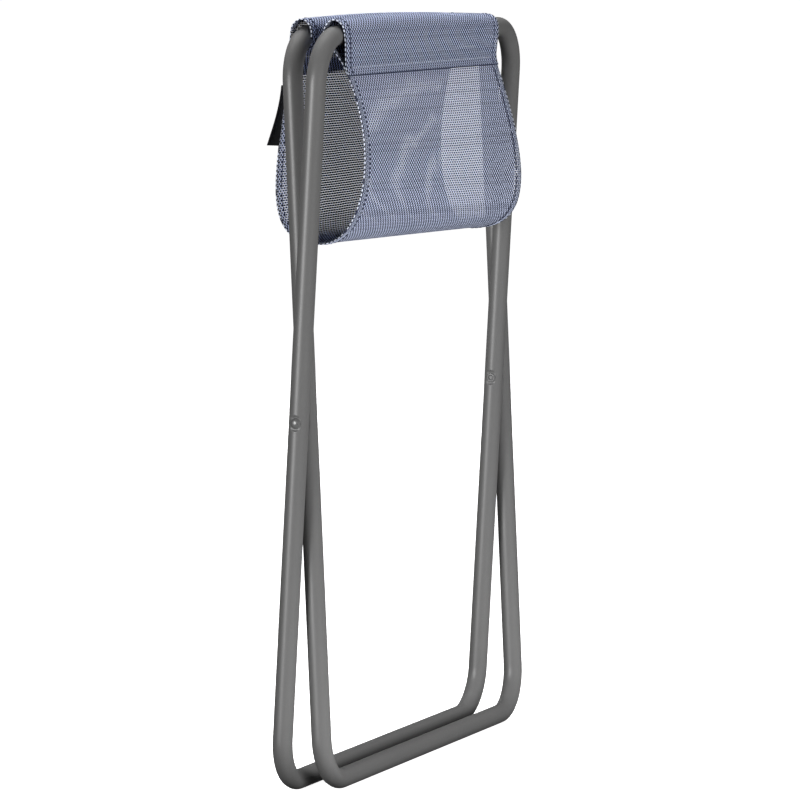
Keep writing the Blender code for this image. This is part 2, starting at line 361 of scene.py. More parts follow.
def rivet_steel():
    """Rivets in the frame's grey, a little glossier, with marks left by the rivet tool."""
    g = Graph("grey_rivet")
    wear = g.noise(g.place(), scale=700.0, detail=3.0)
    tone = g.mix(wear, grey(0.085), grey(0.135))
    g.bump(wear, distance=0.00006, strength=0.5)
    return g.surface(Base_Color=tone, Roughness=g.between(wear, 0.20, 0.40), Metallic=0.15)


def raw_steel():
    """Bare drawn steel, with its grain along X."""
    g = Graph("raw_steel")
    stretched = g.node("ShaderNodeMapping")
    g.feed(stretched.inputs["Vector"], g.place())
    stretched.inputs["Scale"].default_value = (0.08, 1.0, 1.0)
    drawn = g.noise(stretched.outputs[0], scale=1800.0, detail=3.0)
    tone = g.mix(drawn, grey(0.30), grey(0.46))
    g.bump(drawn, distance=0.00004, strength=0.5)
    return g.surface(Base_Color=tone, Roughness=g.between(drawn, 0.28, 0.53), Metallic=0.9)


def spacer_plastic():
    """Dark plastic with a fine grain."""
    g = Graph("dark_spacer")
    grain = g.noise(g.place(), scale=1500.0)
    tone = g.mix(grain, grey(0.045), grey(0.075))
    g.bump(grain, distance=0.00005, strength=0.5)
    return g.surface(Base_Color=tone, Roughness=g.between(grain, 0.42, 0.62))


def slit_opening(g, slit, across):
    """How much light a slit lets through. Fine cross yarns bridge it, and it holds back most of
    the lamps' light, so that the inside of the folded cloth stays dark."""
    in_step = g.math("FRACT", g.over(across, CROSS_YARN_PITCH))
    cross_yarn = g.band(in_step, middle=0.5, width=0.0, soft=CROSS_YARN_EDGE)
    opening = g.times(g.times(slit, SLIT_OPEN), g.minus(1.0, cross_yarn))
    lamp_ray = g.node("ShaderNodeLightPath").outputs["Is Shadow Ray"]
    return g.times(opening, g.ramp(lamp_ray, 0.0, 1.0, 1.0, LAMP_LIGHT_LET_THROUGH))


def seat_mesh(name, yarn_tones, dot_length, dot_height, hem_shade):
    """One face of the open woven mesh: pale yarn rows with dark floats set off by half a step
    from row to row, and a slit between rows. hem_shade sets the painted shadow line beside the
    hem's inner edge, the groove there, and the darker ground under the chain stitch, along both
    side edges."""
    g = Graph(name)
    uv, across, along = g.cloth_place()
    waver = g.times(g.minus(g.noise(uv, scale=30.0), 0.5), ROW_WAVER)
    rows = g.over(g.plus(along, waver), ROW_PITCH)
    row = g.math("FLOOR", rows)
    in_row = g.math("FRACT", rows)
    offset = g.times(g.math("MODULO", row, 2.0), 0.5)
    in_dot = g.math("FRACT", g.plus(g.over(across, DOT_PITCH), offset))
    in_length = g.band(in_dot, middle=0.5, width=dot_length, soft=0.04)
    dot = g.times(in_length, g.band(in_row, DOT_MIDDLE, width=dot_height, soft=0.04))
    slit = g.band(in_row, SLIT_MIDDLE, SLIT_HEIGHT, soft=0.012)
    opening = slit_opening(g, slit, across)

    from_edge = g.math("MINIMUM", across, g.minus(CLOTH_WIDTH, across))
    # Painted shadow: a dark line beside the hem's inner edge, where the hem's step shades the
    # single cloth. The same band is pressed in as a shallow groove.
    seam = g.band(from_edge, SIDE_HEM + 0.0004, width=0.0010, soft=0.0003)
    # Painted shade: a darker band just inside the cut edges, beside the overcast stitches.
    edge = g.ramp(from_edge, low=0.0012, high=0.0022, to_low=1.0, to_high=0.0)
    chain_ground = g.band(from_edge, CHAIN_INSET, width=0.0052, soft=0.0008)

    row_tone = g.node("ShaderNodeTexWhiteNoise", noise_dimensions="1D")
    g.feed(row_tone.inputs["W"], row)
    row_shade = g.ramp(row_tone.outputs["Value"], low=0.0, high=0.30, to_low=0.72)
    patch = g.noise(uv, scale=16.0, detail=3.0)
    tone = g.mix(row_shade, SHADED_YARN, g.mix(patch, *yarn_tones))
    tone = g.mix(dot, tone, DARK_YARN_AND_PAINTED_SHADE)
    # The slits are dark: partly the dark cross yarns' own colour, partly painted shade in the
    # grooves between rows.
    tone = g.mix(g.times(slit, 0.75), tone, DARK_YARN_AND_PAINTED_SHADE)
    # Painted shadow beside the hem's step.
    tone = g.mix(g.times(seam, hem_shade), tone, DARK_YARN_AND_PAINTED_SHADE)
    # Painted shade along the cut edges.
    tone = g.mix(g.times(edge, 0.85), tone, DARK_YARN_AND_PAINTED_SHADE)
    tone = g.mix(g.times(chain_ground, 0.85 * hem_shade), tone, DARK_YARN_AND_PAINTED_SHADE)

    rounded = g.math("SINE", g.times(g.plus(in_row, 0.02), math.pi / 0.84))
    height = g.plus(rounded, g.times(dot, 0.3))
    height = g.minus(height, g.times(seam, 0.8 * hem_shade))
    g.bump(height, distance=0.00020, strength=0.7)
    return g.surface(
        Base_Color=tone,
        Roughness=g.between(patch, 0.52, 0.64),
        Alpha=g.math("SUBTRACT", 1.0, opening, clamp=True),
        Specular_IOR_Level=0.3,
    )


def thread(name, tones):
    """Twisted sewing thread."""
    g = Graph(name)
    twist = g.noise(g.place(), scale=2400.0)
    g.bump(twist, distance=0.00006, strength=0.7)
    return g.surface(Base_Color=g.mix(twist, *tones), Roughness=g.between(twist, 0.50, 0.70))


def label_ribbon():
    """Black woven ribbon with fine ribs across it. It is blank."""
    g = Graph("black_ribbon")
    uv, _, along = g.cloth_place()
    in_rib = g.math("FRACT", g.over(along, RIB_PITCH))
    rib = g.math("SINE", g.times(in_rib, math.pi))
    fuzz = g.noise(uv, scale=900.0)
    tone = g.mix(fuzz, grey(0.006), grey(0.016))
    g.bump(g.plus(rib, g.times(fuzz, 0.4)), distance=0.00008, strength=0.6)
    return g.surface(Base_Color=tone, Roughness=g.between(fuzz, 0.48, 0.68))


PAINT = frame_paint()
RIVET_STEEL = rivet_steel()
RAW_STEEL = raw_steel()
SPACER = spacer_plastic()
MESH_INSIDE = seat_mesh(
    "seat_mesh_inside", YARN_INSIDE, dot_length=0.61, dot_height=0.75, hem_shade=0.0
)
MESH_OUTSIDE = seat_mesh(
    "seat_mesh_outside", YARN_OUTSIDE, dot_length=0.58, dot_height=0.73, hem_shade=0.85
)
# Each thread's place in THREADS
PALE, NAVY, CHAIN = range(3)
THREADS = [
    thread("pale_thread", PALE_THREAD),
    thread("navy_thread", NAVY_THREAD),
    thread("chain_thread", CHAIN_THREAD),
]
RIBBON = label_ribbon()


# Mesh making


class Shape:
    """Gathers the vertices and faces of one piece."""

    def __init__(self):
        self.points = []
        self.faces = []
        self.marks = []
        self.uvs = []

    def add(self, points, faces, mark=0, uvs=None):
        """mark is the faces' place in the piece's list of materials."""
        start = sum(len(p) for p in self.points)
        self.points.append(np.asarray(points, float).reshape(-1, 3))
        self.faces += [tuple(start + i for i in face) for face in faces]
        self.marks += [mark] * len(faces)
        count = len(self.points[-1])
        self.uvs.append(np.zeros((count, 2)) if uvs is None else np.asarray(uvs).reshape(-1, 2))

    def finish(self, name, materials, smooth_angle=50.0):
        mesh = bpy.data.meshes.new(name)
        mesh.from_pydata(np.concatenate(self.points).tolist(), [], self.faces)
        for material in materials:
            mesh.materials.append(material)
        mesh.polygons.foreach_set("material_index", self.marks)
        layer = mesh.uv_layers.new(name="cloth")
        corner_of = np.zeros(len(mesh.loops), np.int32)
        mesh.loops.foreach_get("vertex_index", corner_of)
        layer.data.foreach_set("uv", np.concatenate(self.uvs)[corner_of].ravel())
        mesh.shade_smooth()
        mesh.set_sharp_from_angle(angle=math.radians(smooth_angle))
        mesh.validate()
        piece = bpy.data.objects.new(name, mesh)
        bpy.context.scene.collection.objects.link(piece)
        return piece


def grid_faces(rows, columns, close_rows=False, close_columns=False, flip=False):
    """Quads of a grid of points that is stored row by row."""
    faces = []
    for r in range(rows if close_rows else rows - 1):
        for c in range(columns if close_columns else columns - 1):
            a = r * columns + c
            b = r * columns + (c + 1) % columns
            d = ((r + 1) % rows) * columns + c
            e = ((r + 1) % rows) * columns + (c + 1) % columns
            faces.append((a, d, e, b) if flip else (a, b, e, d))
    return faces


def sweep(shape, centres, first, second, radii, mark):
    """A round thread through centres; first and second span its section at each point."""
    angles = 2.0 * math.pi * np.arange(THREAD_SIDES) / THREAD_SIDES
    ring = np.cos(angles)[None, :, None] * first[:, None, :]
    ring = ring + np.sin(angles)[None, :, None] * second[:, None, :]
    points = centres[:, None, :] + np.asarray(radii)[:, None, None] * ring
    rows = len(centres)
    backward = np.dot(np.cross(first[0], second[0]), centres[1] - centres[0]) < 0.0
    faces = grid_faces(rows, THREAD_SIDES, close_columns=True, flip=backward)
    start = tuple(reversed(range(THREAD_SIDES)))
    end = tuple(range((rows - 1) * THREAD_SIDES, rows * THREAD_SIDES))
    for cap in (start, end):
        faces.append(tuple(reversed(cap)) if backward else cap)
    shape.add(points, faces, mark)


def travelled(line):
    """How far along the line each of its points lies."""
    steps = np.linalg.norm(np.diff(line, axis=0), axis=1)
    return np.concatenate([[0.0], np.cumsum(steps)])


def respaced(line, count):
    """Evenly spaced points on the line."""
    lengths = travelled(line)
    wanted = np.linspace(0.0, lengths[-1], count)
    return np.stack([np.interp(wanted, lengths, line[:, i]) for i in range(line.shape[1])], 1)


def spline(points, count):
    """Evenly spaced points on a smooth curve through the given points."""
    given = np.array(points, float)
    padded = np.vstack([2 * given[0] - given[1], given, 2 * given[-1] - given[-2]])
    out = []
    for p0, p1, p2, p3 in zip(padded, padded[1:], padded[2:], padded[3:]):
        slope = p2 - p0
        bend = 2 * p0 - 5 * p1 + 4 * p2 - p3
        twist = 3 * p1 - p0 - 3 * p2 + p3
        for t in np.linspace(0.0, 1.0, SPLINE_STEPS, endpoint=False):
            out.append(0.5 * (2 * p1 + slope * t + bend * t**2 + twist * t**3))
    out.append(given[-1])
    return respaced(np.array(out), count)


# Frame tubes


def tube_rings(top, bottom, spacing):
    """The tube's rings in the loop's plane, once round from the butt joint in the top bar's
    middle. Each is (centre, outward, radius, flattening)."""
    corner_x = spacing / 2 - CORNER_RADIUS
    up = Vector((0.0, 1.0))
    down = Vector((0.0, -1.0))
    rings = []

    def run(a, b, outward, count):
        for step in range(count):
            rings.append((a.lerp(b, step / count), outward, TUBE_RADIUS, 0.0))

    def corner(x, z, start):
        centre = Vector((x, z))
        for step in range(CORNER_STEPS):
            angle = start - math.radians(90.0) * step / CORNER_STEPS
            outward = Vector((math.cos(angle), math.sin(angle)))
            flat = BEND_FLATTENING * math.sin(math.pi * step / CORNER_STEPS)
            rings.append((centre + CORNER_RADIUS * outward, outward, TUBE_RADIUS, flat))

    def leg(side, start, end):
        """A leg has close rings where it is pressed flat round the rivet."""
        reach = math.copysign(PRESSED_REACH, start)
        outward = Vector((side, 0.0))
        x = side * spacing / 2
        run(Vector((x, start)), Vector((x, reach)), outward, LEG_STEPS)
        run(Vector((x, reach)), Vector((x, -reach)), outward, PRESSED_STEPS)
        run(Vector((x, -reach)), Vector((x, end)), outward, LEG_STEPS)

    for x, cut in ((-1.0, 0.0), (-0.5, BUTT_JOINT_GROOVE), (0.5, BUTT_JOINT_GROOVE)):
        rings.append((Vector((x * BUTT_JOINT_WIDTH, top)), up, TUBE_RADIUS - cut, 0.0))
    top_z = top - CORNER_RADIUS
    bottom_z = CORNER_RADIUS - bottom
    run(Vector((BUTT_JOINT_WIDTH, top)), Vector((corner_x, top)), up, TOP_BAR_STEPS)
    corner(corner_x, top_z, math.radians(90.0))
    leg(1.0, top_z, bottom_z)
    corner(corner_x, bottom_z, 0.0)
    run(Vector((corner_x, -bottom)), Vector((-corner_x, -bottom)), down, BOTTOM_BAR_STEPS)
    corner(-corner_x, bottom_z, math.radians(-90.0))
    leg(-1.0, bottom_z, top_z)
    corner(-corner_x, top_z, math.radians(180.0))
    run(Vector((-corner_x, top)), Vector((-BUTT_JOINT_WIDTH, top)), up, TOP_BAR_STEPS)
    return rings


def pressed(x, y, z):
    """Flattens the tube's side round a rivet; x is across the leg, measured from its centre."""
    distance = math.hypot(y, z)
    t = (PRESSED_FADE_RADIUS - distance) / (PRESSED_FADE_RADIUS - PRESSED_FLAT_RADIUS)
    t = min(max(t, 0.0), 1.0)
    limit = TUBE_RADIUS - PRESSED_DEPTH * t * t * (3 - 2 * t)
    return min(max(x, -limit), limit)


def ring_points(ring, spacing):
    """One ring of the tube's skin, measured from the pivot axis before the loop leans. A bend
    is flattened in the loop's plane, and widened half as much across it."""
    centre, outward, radius, flat = ring
    points = []
    for k in range(TUBE_SIDES):
        angle = 2.0 * math.pi * (k + 0.5) / TUBE_SIDES
        reach = radius * math.cos(angle) * (1.0 - flat)
        y = radius * math.sin(angle) * (1.0 + 0.5 * flat)
        x = centre.x + reach * outward.x
        z = centre.y + reach * outward.y
        if abs(z) < 2 * PRESSED_FADE_RADIUS:
            leg_x = math.copysign(spacing / 2, x)
            x = leg_x + pressed(x - leg_x, y, z)
        points.append(Vector((x, y, z)))
    return points


def build_tube(half):
    """One bent tube as a closed loop. Gives the loop's sideways offset and its legs' spacing."""
    low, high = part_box(half + "_frame_tube")
    arm = BAR_CENTRES[half] - PIVOT
    lean = math.atan2(-arm.y, arm.z)
    spacing = (high.x - low.x) - 2 * TUBE_RADIUS
    bottom = (PIVOT.z - low.z - TUBE_RADIUS) / math.cos(lean)
    offset = (low.x + high.x) / 2
    rings = tube_rings(arm.length, bottom, spacing)
    turn = Matrix.Rotation(lean, 3, "X")
    shift = Vector((offset, 0.0, PIVOT.z))
    points = []
    for ring in rings:
        points += [turn @ point + shift for point in ring_points(ring, spacing)]
    shape = Shape()
    faces = grid_faces(len(rings), TUBE_SIDES, close_rows=True, close_columns=True, flip=True)
    shape.add(points, faces)
    tube = shape.finish(half + "_tube", [PAINT])
    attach(tube, half + "_frame")
    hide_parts(half + "_frame_tube")
    return offset, spacing


# Rivets


def turned(profile, side):
    """A body turned about X from (x, radius) points, closed at both ends."""
    points = []
    for x, radius in profile:
        for k in range(RIVET_SIDES):
            angle = 2.0 * math.pi * k / RIVET_SIDES
            points.append((side * x, radius * math.cos(angle), radius * math.sin(angle)))
    faces = grid_faces(len(profile), RIVET_SIDES, close_columns=True, flip=side > 0)
    first = tuple(range(RIVET_SIDES))
    last = tuple(reversed(range((len(profile) - 1) * RIVET_SIDES, len(profile) * RIVET_SIDES)))
    if side > 0:
        first = tuple(reversed(first))
        last = tuple(reversed(last))
    shape = Shape()
    shape.add(points, faces + [first, last])
    return shape


def rivet_profile(offset):
    """From the domed head's pole, down the shank and round the rolled end to its bore's floor."""
    seat = offset + TUBE_RADIUS - PRESSED_DEPTH
    profile = []
    for step in range(HEAD_STEPS):
        angle = math.radians(90.0) * (1.0 - (step + HEAD_POLE_GAP) / HEAD_STEPS)
        profile.append((seat + HEAD_HEIGHT * math.sin(angle), HEAD_RADIUS * math.cos(angle)))
    profile.append((seat - HEAD_SINK, HEAD_RADIUS))
    profile.append((seat - HEAD_SINK, RIVET_SHANK_RADIUS))
    profile.append((-seat + ROLL_SINK, RIVET_SHANK_RADIUS))
    middle = (ROLL_RADIUS + ROLL_BORE_RADIUS) / 2
    half_width = (ROLL_RADIUS - ROLL_BORE_RADIUS) / 2
    for step in range(ROLL_STEPS + 1):
        angle = math.pi * step / ROLL_STEPS
        x = -seat + ROLL_SINK - (ROLL_HEIGHT + ROLL_SINK) * math.sin(angle)
        profile.append((x, middle + half_width * math.cos(angle)))
    profile.append((-seat + ROLL_BORE_DEPTH, ROLL_BORE_RADIUS * ROLL_BORE_TAPER))
    return profile


def build_rivet(name, side, offset, spacing):
    """A semi-tubular rivet: its domed head is pressed into the outer leg, and its other end is
    rolled over in the inner one."""
    shape = turned(rivet_profile(offset), side)
    rivet = shape.finish(name + "_rivet", [RIVET_STEEL], smooth_angle=40.0)
    rivet.location = (side * spacing / 2, 0.0, PIVOT.z)
    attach(rivet, "pivots")
    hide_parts(name + "_pivot_rivet")


# Seat cloth


class Strip:
    """A stretch of one half's cloth. outline gives its (y, z) points at a share of the width,
    along gives their rows, and left the x of the cloth's left edge there."""

    def __init__(self, side, outline, along, left):
        self.side = side
        self.outline = outline
        self.along = along
        self.left = left
        self.lines = {}

    def line(self, across):
        """Points and normals down the strip, across metres in from its left edge."""
        key = round(across, 7)
        if key not in self.lines:
            share = min(max(across / CLOTH_WIDTH, 0.0), 1.0)
            yz = self.outline(share)
            tangent = np.gradient(yz, axis=0)
            tangent /= np.linalg.norm(tangent, axis=1)[:, None]
            zero = np.zeros(len(yz))
            points = np.stack([self.left + across, yz[:, 0], yz[:, 1] + PIVOT.z], 1)
            normals = np.stack([zero, -tangent[:, 1], tangent[:, 0]], 1) * -self.side
            self.lines[key] = (points, normals)
        return self.lines[key]

    def at(self, across, rows, lift=0.0):
        """Points on the strip at the given rows, and the cloth's normals there."""
        points, normals = self.line(across)
        order = np.argsort(self.along)
        known = self.along[order]
        place = np.stack([np.interp(rows, known, points[order, i]) for i in range(3)], 1)
        out = np.stack([np.interp(rows, known, normals[order, i]) for i in range(3)], 1)
        out /= np.linalg.norm(out, axis=1)[:, None]
        return place + np.asarray(lift).reshape(-1, 1) * out, out


def edge_curve(half, edge):
    """The free cloth's edge as a cubic curve from the sleeve's hem to the lowest point."""
    start, angle, pull, end, bottom_pull = EDGE_CURVES[half, edge]
    side = SIDES[half]
    angle = math.radians(angle)
    p0 = np.array(start)
    p1 = p0 + pull * np.array((side * math.sin(angle), -math.cos(angle)))
    p3 = np.array(end)
    p2 = p3 + np.array((side * bottom_pull, 0.0))
    t = np.linspace(0.0, 1.0, CURVE_STEPS)[:, None]
    s = 1.0 - t
    curve = s**3 * p0 + 3 * s * s * t * p1 + 3 * s * t * t * p2 + t**3 * p3
    return respaced(curve, DENSE_ROWS)


def free_strip(half):
    """One half's cloth from the hem to the lowest point of the loop. The front half goes on a
    little past it, so that the halves overlap. The two bars' cloth starts at different x, and
    each half drifts halfway to the other's on the way down."""
    left = edge_curve(half, "left")
    right = edge_curve(half, "right")
    if half == "front":
        tuck = np.array([[TUCK_UNDER, 0.0]])
        left = np.vstack([left, left[-1:] + tuck])
        right = np.vstack([right, right[-1:] + tuck])
    lengths = travelled((left + right) / 2)
    along = SIDES[half] * (lengths[DENSE_ROWS - 1] - lengths)
    bar_left, other_left = FRONT_BAR_LEFT_X, BACK_BAR_LEFT_X
    if half == "back":
        bar_left, other_left = other_left, bar_left
    drift = 0.5 * lengths / lengths[-1]
    return Strip(
        SIDES[half],
        lambda share: left + share * (right - left),
        along,
        bar_left + drift * (other_left - bar_left),
    )


def sleeve_strip(half, free):
    """The cloth from the flap's cut end, over the bar and down to where the free cloth starts."""
    side = SIDES[half]
    centre = np.array((BAR_CENTRES[half].y, BAR_CENTRES[half].z - PIVOT.z))
    base = spline(SLEEVE_OUTLINE, DENSE_ROWS)
    end_out = base[-1, 0]
    depth = -base[-1, 1]
    height = base[:, 1].max()

    def outline(share):
        """Below the bar's centre it leans to meet the free cloth, and above it is crowned."""
        start = free.outline(share)[0] - centre
        out, up = base[:, 0].copy(), base[:, 1].copy()
        below = np.clip(-up / depth, 0.0, 1.0)
        above = np.clip(up / height, 0.0, 1.0)
        out += (side * start[0] - end_out) * below
        up += (start[1] + depth) * below
        crown = SLEEVE_CROWN * (1.0 - (2.0 * share - 1.0) ** 2) - SLEEVE_RIGHT_DROP * share**2
        up += crown * above
        return np.stack([centre[0] + side * out, centre[1] + up], 1)

    lengths = travelled(outline(0.5))
    along = side * (abs(free.along[0]) + lengths[-1] - lengths)
    return Strip(side, outline, along, np.full(DENSE_ROWS, free.left[0]))


def columns_across():
    """Distances across the cloth, close together at the hems' inner edges."""
    left = np.array(HEM_COLUMNS)
    right = CLOTH_WIDTH - left[::-1]
    ends = (FIRST_MIDDLE_COLUMN, CLOTH_WIDTH - FIRST_MIDDLE_COLUMN)
    return np.concatenate([left, np.linspace(*ends, MIDDLE_COLUMNS), right])


def skin_points(strip, rows, columns, skin, flap_end):
    """One skin of the cloth: 1 is inside the hanging loop and outside the sleeve, and -1 is the
    other side, where the hems double the cloth."""
    lines = []
    for across in columns:
        lift = np.full(len(rows), skin * CLOTH_THICKNESS / 2)
        if skin < 0:
            in_hem = across < SIDE_HEM or across > CLOTH_WIDTH - SIDE_HEM
            lift -= HEM_STEP * in_hem
            if flap_end is not None:
                lift -= HEM_STEP * (np.abs(rows - flap_end) < FLAP_HEM)
        lines.append(strip.at(across, rows, lift)[0])
    return np.stack(lines, 1)


def rim_of(row_count, column_count):
    """The outer points of a grid in order, once round."""
    rim = [r * column_count for r in range(row_count)]
    rim += [(row_count - 1) * column_count + c for c in range(1, column_count)]
    rim += [r * column_count + column_count - 1 for r in range(row_count - 2, -1, -1)]
    return rim + list(range(column_count - 2, 0, -1))


def slab(strip, rows, name, flap_end=None):
    """Thin closed cloth between its two skins."""
    columns = columns_across()
    skins = [skin_points(strip, rows, columns, skin, flap_end) for skin in (1, -1)]
    uv = np.zeros((len(rows), len(columns), 2))
    uv[:, :, 0] = columns[None, :]
    uv[:, :, 1] = np.asarray(rows)[:, None]

    shape_of_grid = (len(rows), len(columns))
    total = len(rows) * len(columns)
    front = strip.side < 0
    inside = grid_faces(*shape_of_grid, flip=not front)
    outside = [tuple(total + i for i in face) for face in grid_faces(*shape_of_grid, flip=front)]
    rim = rim_of(*shape_of_grid)
    for a, b in zip(rim, rim[1:] + rim[:1]):
        quad = (a, b, total + b, total + a)
        outside.append(quad if front else tuple(reversed(quad)))
    shape = Shape()
    shape.add(np.stack(skins), inside + outside, 0, np.stack([uv, uv]))
    shape.marks = [0] * len(inside) + [1] * len(outside)
    return shape.finish(name, [MESH_INSIDE, MESH_OUTSIDE], smooth_angle=60.0)


def strand(shape, strip, across, rows, lift, radius, mark):
    """A thread laid on the cloth along a path of (across, row)."""
    x_axis = np.array((1.0, 0.0, 0.0))
    middle, normals = strip.at(float(across[0]), rows, lift)
    line = middle + (across - across[0])[:, None] * x_axis
    first = np.repeat(x_axis[None, :], len(rows), 0)
    sweep(shape, line, first, normals, np.full(len(rows), radius), mark)


def stitches(shape, strip, across, ends, lift, phase, radius, mark):
    """Short stitches that run along the cloth between two rows, at whole steps plus a phase."""
    low, high = ends
    first = math.ceil(low / STITCH_PITCH - phase)
    last = math.floor(high / STITCH_PITCH - phase)
    x_axis = np.repeat(np.array([[1.0, 0.0, 0.0]]), len(STITCH_SHAPE), 0)
    for k in range(first, last + 1):
        middle = (k + phase) * STITCH_PITCH
        rows = np.array([middle + STITCH_LENGTH * t for t, _ in STITCH_SHAPE])
        if rows[0] < low or rows[-1] > high:
            continue
        centres, normals = strip.at(across, rows, lift)
        radii = [radius * r for _, r in STITCH_SHAPE]
        sweep(shape, centres, x_axis, normals, radii, mark)


def stitch_across(shape, strip, across, row, lift):
    """One stitch that runs across the cloth, in the sleeve's seam."""
    line = []
    for t, _ in STITCH_SHAPE:
        point, normal = strip.at(across + STITCH_LENGTH * t, np.array([row]), lift)
        line.append(point[0])
    radii = [SEAM_STITCH_RADIUS * r for _, r in STITCH_SHAPE]
    normals = np.repeat(normal, len(line), 0)
    second = np.cross(np.array((1.0, 0.0, 0.0)), normals)
    sweep(shape, np.array(line), normals, second, radii, PALE)


def side_threads(shape, strip, first, last):
    """Both side edges: overcast stitches on a dark cord, a chain across the hem, and a row of
    dark stitches along the hem's inner edge, on both faces."""
    low, high = min(first, last), max(first, last)
    cord_rows = np.linspace(low, high, max(int((high - low) / EDGE_CORD_STEP), 3))
    chain_rows = np.linspace(low, high, max(int((high - low) / CHAIN_STEP), 6))
    for inward in (1.0, -1.0):
        edge = 0.0 if inward > 0 else CLOTH_WIDTH
        outer = edge - inward * EDGE_CORD_RADIUS
        cord = np.full(len(cord_rows), outer)
        strand(shape, strip, cord, cord_rows, HEM_FACE / 2, EDGE_CORD_RADIUS, NAVY)
        ends = (low, high)
        stitches(shape, strip, outer, ends, HEM_FACE / 2, 0.0, EDGE_STITCH_RADIUS, PALE)
        inset = edge + inward * SIDE_STITCH_INSET
        for lift in (CLOTH_THICKNESS / 2, HEM_FACE):
            stitches(shape, strip, inset, ends, lift, SIDE_STITCH_PHASE, STITCH_RADIUS, NAVY)
        for phase in (0.0, math.pi):
            wave = CHAIN_SWING * np.sin(2 * math.pi * chain_rows / STITCH_PITCH + phase)
            path = edge + inward * (CHAIN_INSET + wave)
            strand(shape, strip, path, chain_rows, HEM_FACE, CHAIN_RADIUS, CHAIN)


def sleeve_threads(shape, strip):
    """The seam across the sleeve's flap, and a dark thread along its cut end that paints in the
    shadow line under the flap's hem.
    """
    seam_row = strip.along[0] - strip.side * SLEEVE_STITCH_UP
    for k in range(int((CLOTH_WIDTH - 2 * SIDE_HEM) / STITCH_PITCH)):
        across = SIDE_HEM + STITCH_PITCH * (k + 0.5)
        stitch_across(shape, strip, across, seam_row, CLOTH_THICKNESS / 2)
    # A dark thread along the flap's cut end, put there as the painted shadow line under the hem.
    cut_end = np.array([strip.at(x, strip.along[:1])[0][0] for x in columns_across()])
    z_axis = np.repeat([[0.0, 0.0, 1.0]], len(cut_end), 0)
    y_axis = np.roll(z_axis, -1, 1)
    sweep(shape, cut_end, z_axis, y_axis, np.full(len(cut_end), CUT_END_SHADOW_RADIUS), NAVY)


def snapped(row):
    """The nearest slit between two yarn rows, so that a cut there shows no yarn."""
    return (round(row / ROW_PITCH - CUT_IN_ROW) + CUT_IN_ROW) * ROW_PITCH


def rows_between(first, last):
    """Rows about GRID_ALONG apart, with both ends."""
    count = max(int(abs(last - first) / GRID_ALONG), 6)
    return np.linspace(first, last, count + 1)


def fold_rows(half, free):
    """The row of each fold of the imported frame, from the sleeve down, and of the lowest point."""
    middle = free.outline(0.5)
    found = []
    for k in range(1, PANELS_PER_HALF + 1):
        place = JOINT_PLACES[f"{half}_seat_fold_{k}"] - PIVOT
        gap = np.linalg.norm(middle - np.array((place.y, place.z)), axis=1)
        found.append(free.along[gap.argmin()])
    return found + [0.0]


def build_sleeve(half, strip):
    """The tunnel of cloth round the bar, with its flap, hems and threads. Gives its name."""
    name = half + "_sleeve_cloth"
    first, last = strip.along[0], strip.along[-1]
    cloth = slab(strip, rows_between(first, last), name, flap_end=first)
    threads = Shape()
    side_threads(threads, strip, first, last)
    sleeve_threads(threads, strip)
    sewn = threads.finish(half + "_sleeve_threads", THREADS)
    for piece in (cloth, sewn):
        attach(piece, half + "_sleeve")
    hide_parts(half + "_bar_sleeve")
    return name


def build_free_cloth(half, strip):
    """The free cloth, one piece for each fold, cut halfway between one fold and the next."""
    folds = fold_rows(half, strip)
    cuts = [snapped((above + below) / 2) for above, below in zip(folds, folds[1:])]
    last_turn = cuts.pop()
    cuts = [strip.along[0]] + cuts + [strip.along[-1]]
    for k in range(1, PANELS_PER_HALF + 1):
        first, last = cuts[k - 1], cuts[k]
        name = f"{half}_seat_cloth_{k}"
        cloth = slab(strip, rows_between(first, last), name)
        threads = Shape()
        side_threads(threads, strip, first, last)
        sewn = threads.finish(f"{half}_seat_threads_{k}", THREADS)
        end = last_turn if k == PANELS_PER_HALF else last
        margin = BLEND_MARGIN * (end - first)
        bend = strip.at(CLOTH_WIDTH / 2, np.array([first + margin, end - margin]))[0]
        for piece in (cloth, sewn):
            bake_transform(piece)
        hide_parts(f"{half}_seat_panel_{k}")


# Label tag


def label_section():
    """The folded ribbon's outline as (reach, lift), round its outer fold."""
    thick = LABEL_THICKNESS / 2
    reaches = np.linspace(0.0, LABEL_WIDTH, LABEL_COLUMNS)
    section = [(reach, thick) for reach in reaches]
    section.append((LABEL_WIDTH + LABEL_FOLD_BULGE * thick, 0.0))
    return section + [(reach, -thick) for reach in reversed(reaches)]


def build_label(strip):
    """A blank ribbon folded in half, sewn into the back's left side hem and a little twisted."""
    start = strip.along[0] - LABEL_TOP_GAP
    rows = np.linspace(start, start - LABEL_LENGTH, LABEL_ROWS)
    root, normals = strip.at(0.0, rows)
    out = -normals
    t = np.linspace(0.0, 1.0, LABEL_ROWS)
    tilt = LABEL_TOP_TILT + t * t * (LABEL_BOTTOM_TILT - LABEL_TOP_TILT)
    x_axis = np.array((1.0, 0.0, 0.0))
    way = -np.cos(tilt)[:, None] * x_axis + np.sin(tilt)[:, None] * out
    face = np.sin(tilt)[:, None] * x_axis + np.cos(tilt)[:, None] * out
    root = root - LABEL_EDGE_GAP * x_axis
    section = label_section()
    points = []
    uvs = []
    for i in range(LABEL_ROWS):
        for reach, lift in section:
            points.append(root[i] + reach * way[i] + lift * face[i])
            uvs.append((reach, rows[i]))
    count = len(section)
    faces = grid_faces(LABEL_ROWS, count, close_columns=True, flip=True)
    faces.append(tuple(reversed(range(count))))
    faces.append(tuple(range((LABEL_ROWS - 1) * count, LABEL_ROWS * count)))
    shape = Shape()
    shape.add(points, faces, 0, uvs)
    label = shape.finish("label_ribbon", [RIBBON])
    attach(label, "back_seat_1")
    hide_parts("label_tag")


# Studio


